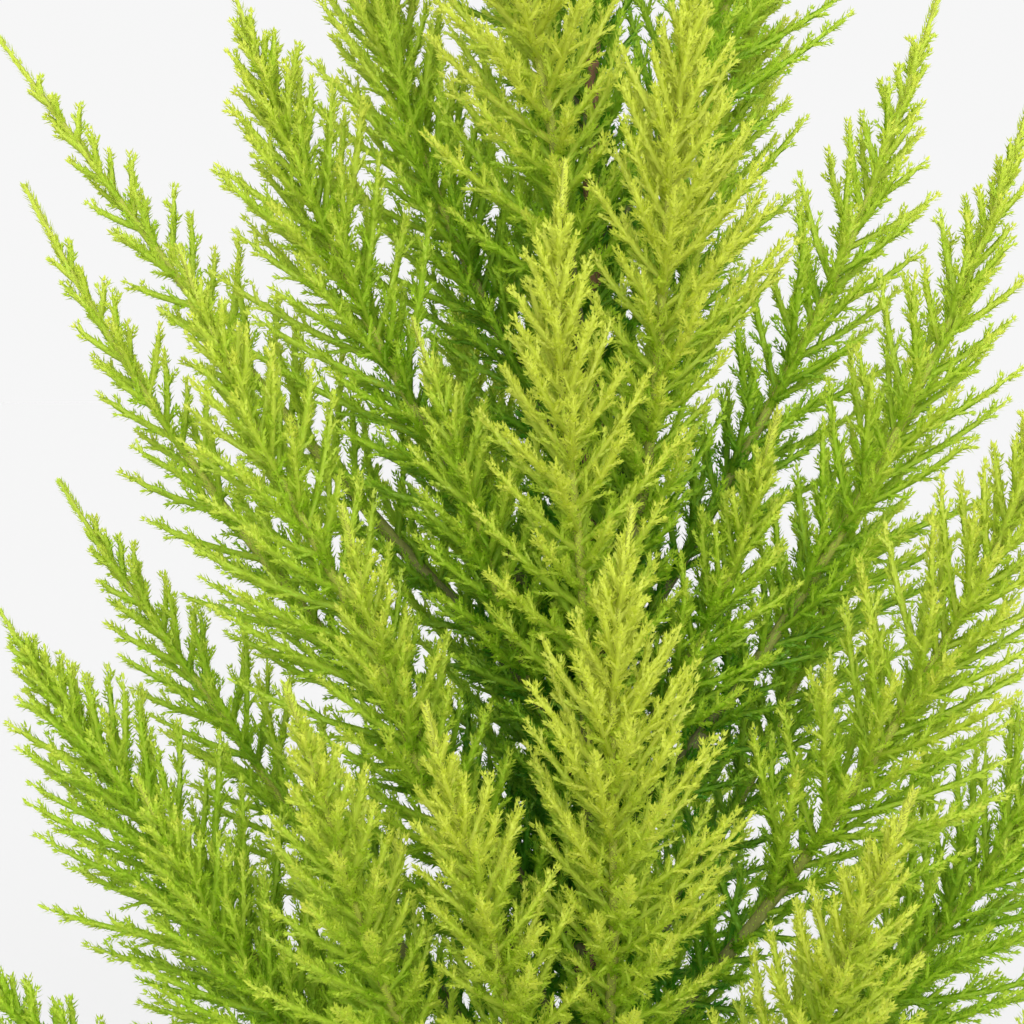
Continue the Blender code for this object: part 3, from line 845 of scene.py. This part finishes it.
def limb_mesh(name, centres, radii, sides, depth, seed, climbs):
    """Closed wood with bark relief, along rings of centres. climbs is each ring's place between the
    bark's two colours.
    """
    centres, radii = np.array(centres), np.array(radii)
    rings = len(centres)
    tangent = unit(np.gradient(centres, axis=0))
    turn = np.linspace(0, 2 * math.pi, sides, endpoint=False)
    side = unit(np.cross(tangent, WOOD_REFERENCE))
    other = np.cross(tangent, side)
    out = side[:, None] * np.cos(turn)[None, :, None] + other[:, None] * np.sin(turn)[None, :, None]
    travelled = np.concatenate(((0,), np.cumsum(np.linalg.norm(np.diff(centres, axis=0), axis=1))))
    rough = relief(turn[None, :], travelled[:, None], seed)
    if radii.ndim == 1:
        radii = np.repeat(radii[:, None], sides, axis=1)
    reach = radii * (1 + depth * rough)
    points = (centres[:, None] + out * reach[..., None]).reshape(-1, 3)
    points = np.concatenate((points, centres[:1], centres[-1:]))
    foot, top = rings * sides, rings * sides + 1
    faces = []
    for i in range(sides):
        j = (i + 1) % sides
        low = np.arange(rings - 1) * sides
        faces.append(np.stack((low + i, low + j, low + j + sides), axis=1))
        faces.append(np.stack((low + i, low + j + sides, low + i + sides), axis=1))
        end = (rings - 1) * sides
        faces.append(np.array(((foot, j, i), (top, end + i, end + j))))
    obj = mesh_of(name, points, np.concatenate(faces))
    values = np.repeat(climbs, sides)
    values = np.concatenate((values, (climbs[0], climbs[-1]))).astype(np.float32)
    obj.data.attributes.new("climb", "FLOAT", "POINT").data.foreach_set("value", values)
    obj.data.shade_smooth()
    return obj


def dress_trunk(bark):
    """The trunk with its root flare and shoulders, from the ground to its end below the leader."""
    foot = np.linspace(0, TRUNK_FOOT_HEIGHT, TRUNK_FOOT_RINGS, endpoint=False)
    heights = np.concatenate((foot, np.linspace(TRUNK_FOOT_HEIGHT, TRUNK_HEIGHT, TRUNK_RINGS)))
    turn = np.linspace(0, 2 * math.pi, TRUNK_SIDES, endpoint=False)
    radii = np.array([trunk_radius(h) for h in heights])[:, None]
    first = math.radians(ROOT_SHOULDER_FIRST_HEADING)
    lobes = np.clip(np.cos(ROOT_SHOULDERS * (turn - first)), 0, 1) ** ROOT_SHOULDER_SHARPNESS
    swell = ROOT_SHOULDER_SWELL * np.exp(-heights / ROOT_SHOULDER_FALL)[:, None] * lobes[None]
    centres = [trunk_centre(h) for h in heights]
    climbs = heights / TREE_HEIGHT
    trunk = limb_mesh("trunk_bark", centres, radii + swell, TRUNK_SIDES, climbs=climbs, **TRUNK_BARK)
    trunk.data.materials.append(bark)
    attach(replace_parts(trunk, "trunk"), "root")


def dress_bough(bough, bark):
    """One bough from inside the trunk to its tip, with a collar where it leaves the trunk."""
    shares = np.linspace(0, 1, BOUGH_RINGS)
    at_trunk = trunk_radius(bough.height) / bough.length
    collar = 1 + COLLAR_SWELL * np.exp(-np.clip(shares - at_trunk, 0, 1) / COLLAR_REACH)
    radii = np.array([bough.radius(s) for s in shares]) * collar
    centres = [bough.point(s) for s in shares]
    # Painted shade: the bough's bark is darkest near the trunk, inside the crown, and turns green
    # further out.
    shade_to_green = np.clip((shares - SHADE_TO_GREEN_FROM) / SHADE_TO_GREEN_STRETCH, 0, 1)
    name = f"{bough.name}_bark"
    piece = limb_mesh(name, centres, radii, BOUGH_SIDES, BOUGH_BARK_DEPTH, bough.seed, shade_to_green)
    piece.data.materials.append(bark)
    nodes = [f"foliage_{bough.name}"] + ([f"bough_{bough.name}"] if bough.limb_share else [])
    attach(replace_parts(piece, *nodes), "root")


def camera():
    """The scene's camera, which looks a little down at CAMERA_AIM."""
    data = bpy.data.cameras.new("camera")
    data.sensor_width = SENSOR_WIDTH
    data.lens = FOCAL_WIDTHS * SENSOR_WIDTH
    made = bpy.data.objects.new("camera", data)
    bpy.context.scene.collection.objects.link(made)
    down = math.radians(CAMERA_ELEVATION)
    look = Vector((0, math.cos(down), -math.sin(down)))
    made.location = Vector(CAMERA_AIM) - look * CAMERA_DISTANCE
    made.rotation_mode = "QUATERNION"
    made.rotation_quaternion = look.to_track_quat("-Z", "Y")
    bpy.context.scene.camera = made


def sun(name, heading, height, strength, softness):
    """A soft lamp that shines from a heading round the tree and a height above the horizon."""
    data = bpy.data.lights.new(name, "SUN")
    data.energy = strength
    data.angle = math.radians(softness)
    lamp = bpy.data.objects.new(name, data)
    bpy.context.scene.collection.objects.link(lamp)
    heading, height = math.radians(heading), math.radians(height)
    reach = math.cos(height)
    source = Vector((math.cos(heading) * reach, math.sin(heading) * reach, math.sin(height)))
    lamp.rotation_mode = "QUATERNION"
    lamp.rotation_quaternion = source.to_track_quat("Z", "Y")


def studio():
    """A pale floor that meets the world's light without a line, a key lamp and a fill lamp."""
    world = bpy.data.worlds.new("studio")
    world.use_nodes = True
    background = world.node_tree.nodes["Background"]
    background.inputs["Color"].default_value = (1, 1, 1, 1)
    background.inputs["Strength"].default_value = WORLD_LIGHT
    bpy.context.scene.world = world
    lamps = (KEY_LIGHT, FILL_LIGHT)
    for number, lamp in enumerate(lamps):
        sun(f"lamp_{number}", **lamp)
    direct = sum(lamp["strength"] * math.sin(math.radians(lamp["height"])) for lamp in lamps) / math.pi
    pale = WORLD_LIGHT / (WORLD_LIGHT + direct) * FLOOR_TRIM
    bpy.ops.mesh.primitive_circle_add(vertices=96, radius=FLOOR_RADIUS, fill_type="NGON")
    floor = bpy.context.object
    floor.name = "floor"
    material, _, shader = principled("floor", (pale, pale, pale), 1.0)
    shader.inputs["Specular IOR Level"].default_value = 0
    floor.data.materials.append(material)


def join_by_tone(kind, grown, roughness, green_nodes):
    """Joins what is grown, (corners, tones, normals), into pieces of one kind and one tone each."""
    corners = np.concatenate([corners.reshape(-1, 3, 3) for corners, _, _ in grown])
    tones = np.concatenate([np.repeat(tones, corners.shape[1]) for corners, tones, _ in grown])
    normals = np.concatenate([normals.reshape(-1, 3, 3) for _, _, normals in grown])
    for tone in range(TONES):
        chosen = np.flatnonzero(tones == tone)
        if not len(chosen):
            continue
        pieces = math.ceil(len(chosen) / MOST_TRIANGLES)
        for number, part in enumerate(np.array_split(chosen, pieces), start=1):
            faces = np.arange(len(part) * 3).reshape(-1, 3)
            points, leans = corners[part].reshape(-1, 3), normals[part].reshape(-1, 3)
            piece = mesh_of(f"{kind}_{tone + 1}_{number}", points, faces, leans)
            piece.data.materials.append(leaf_material(piece.name, tone_colour(tone), roughness))
            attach(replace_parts(piece, *green_nodes), "root")


class Greenery:
    """Needles and twigs, gathered as (corners, tones, normals), to be joined by tone."""

    def __init__(self):
        self.needles = []
        self.twigs = []

    def add(self, shoots, chance, rings, spacing=PAIR_SPACING):
        """Clothes shoots in needles, and gives them twigs of so many rings, or none for 0."""
        self.needles.append(needle_pairs(shoots, chance, spacing))
        if rings:
            self.twigs.append(twigs(shoots, rings))

    def add_branched(self, shoots, keeps, chance):
        """Adds shoots together with the side shoots that grow on them."""
        self.add(shoots, chance, BRANCHED_TWIG_RINGS)
        self.add(side_shoots(shoots, keeps, chance, **SIDE_SHOOTS), chance, SIDE_TWIG_RINGS)


def anywhere(points):
    """Allows every point, for shoots that may grow into any space."""
    return np.ones(len(points), bool)


def centre_line(bough, first, last, count):
    """The centres and radii at even steps between two shares of a bough's arc, and the shares."""
    shares = np.linspace(first, last, count)
    centres = np.array([bough.point(s) for s in shares])
    return centres, np.array([bough.radius(s) for s in shares]), shares


def grow_plume(bough, space, greenery):
    """Everything green on one bough: its leafy stem, its laterals, and what grows on its limb."""
    chance = np.random.default_rng(PLUME_SEED + bough.seed)
    centres, radii, shares = centre_line(bough, bough.foliage_share, 1, STEM_PLACES)
    stem = runs(centres, np.maximum(radii, LEAFY_STEM_RADIUS), shares)
    greenery.add(stem, chance, 0, STEM_PAIR_SPACING)
    greenery.add_branched(laterals(bough, space), lambda tips: space.allows(bough.name, tips), chance)
    centres, radii, _ = centre_line(bough, 0, bough.foliage_share, INNER_PLACES)
    greenery.add_branched(wood_shoots(centres, radii, chance, **LIMB_SHOOTS), anywhere, chance)
    if bough.limb_share:
        limb = runs(*centre_line(bough, LEAFY_LIMB_FROM, bough.limb_share, LIMB_PLACES))
        greenery.add(limb, chance, 0, LIMB_PAIR_SPACING)


def grow_on_trunk(greenery):
    """The trunk's short shoots, and the needles on its upper part."""
    chance = np.random.default_rng(TRUNK_SEED)
    heights = np.linspace(TRUNK_SHOOTS_FROM, TRUNK_HEIGHT, TRUNK_PLACES)
    centres = np.array([trunk_centre(h) for h in heights])
    radii = np.array([trunk_radius(h) for h in heights])
    greenery.add_branched(wood_shoots(centres, radii, chance, **TRUNK_SHOOTS), anywhere, chance)
    leafy = heights >= LEAFY_TRUNK_FROM
    stem = runs(centres[leafy], radii[leafy], np.zeros(leafy.sum()))
    greenery.add(stem, chance, 0, STEM_PAIR_SPACING)


def main():
    """The whole scene: bark, plumes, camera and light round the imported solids."""
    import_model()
    bpy.context.scene.view_settings.view_transform = "Standard"
    boughs = all_boughs()
    space = Space(boughs)
    bough_bark = bark_material("bough_bark", *BOUGH_SHADED_AND_GREEN_COLOURS, BOUGH_STREAKS)
    dress_trunk(bark_material("trunk_bark", *TRUNK_COLOURS, TRUNK_STREAKS))
    greenery = Greenery()
    for bough in boughs:
        dress_bough(bough, bough_bark)
        grow_plume(bough, space, greenery)
    grow_on_trunk(greenery)
    green_nodes = [f"foliage_{bough.name}" for bough in boughs]
    join_by_tone("needles", greenery.needles, NEEDLE_ROUGHNESS, green_nodes)
    join_by_tone("twigs", greenery.twigs, TWIG_ROUGHNESS, green_nodes)
    camera()
    studio()


main()
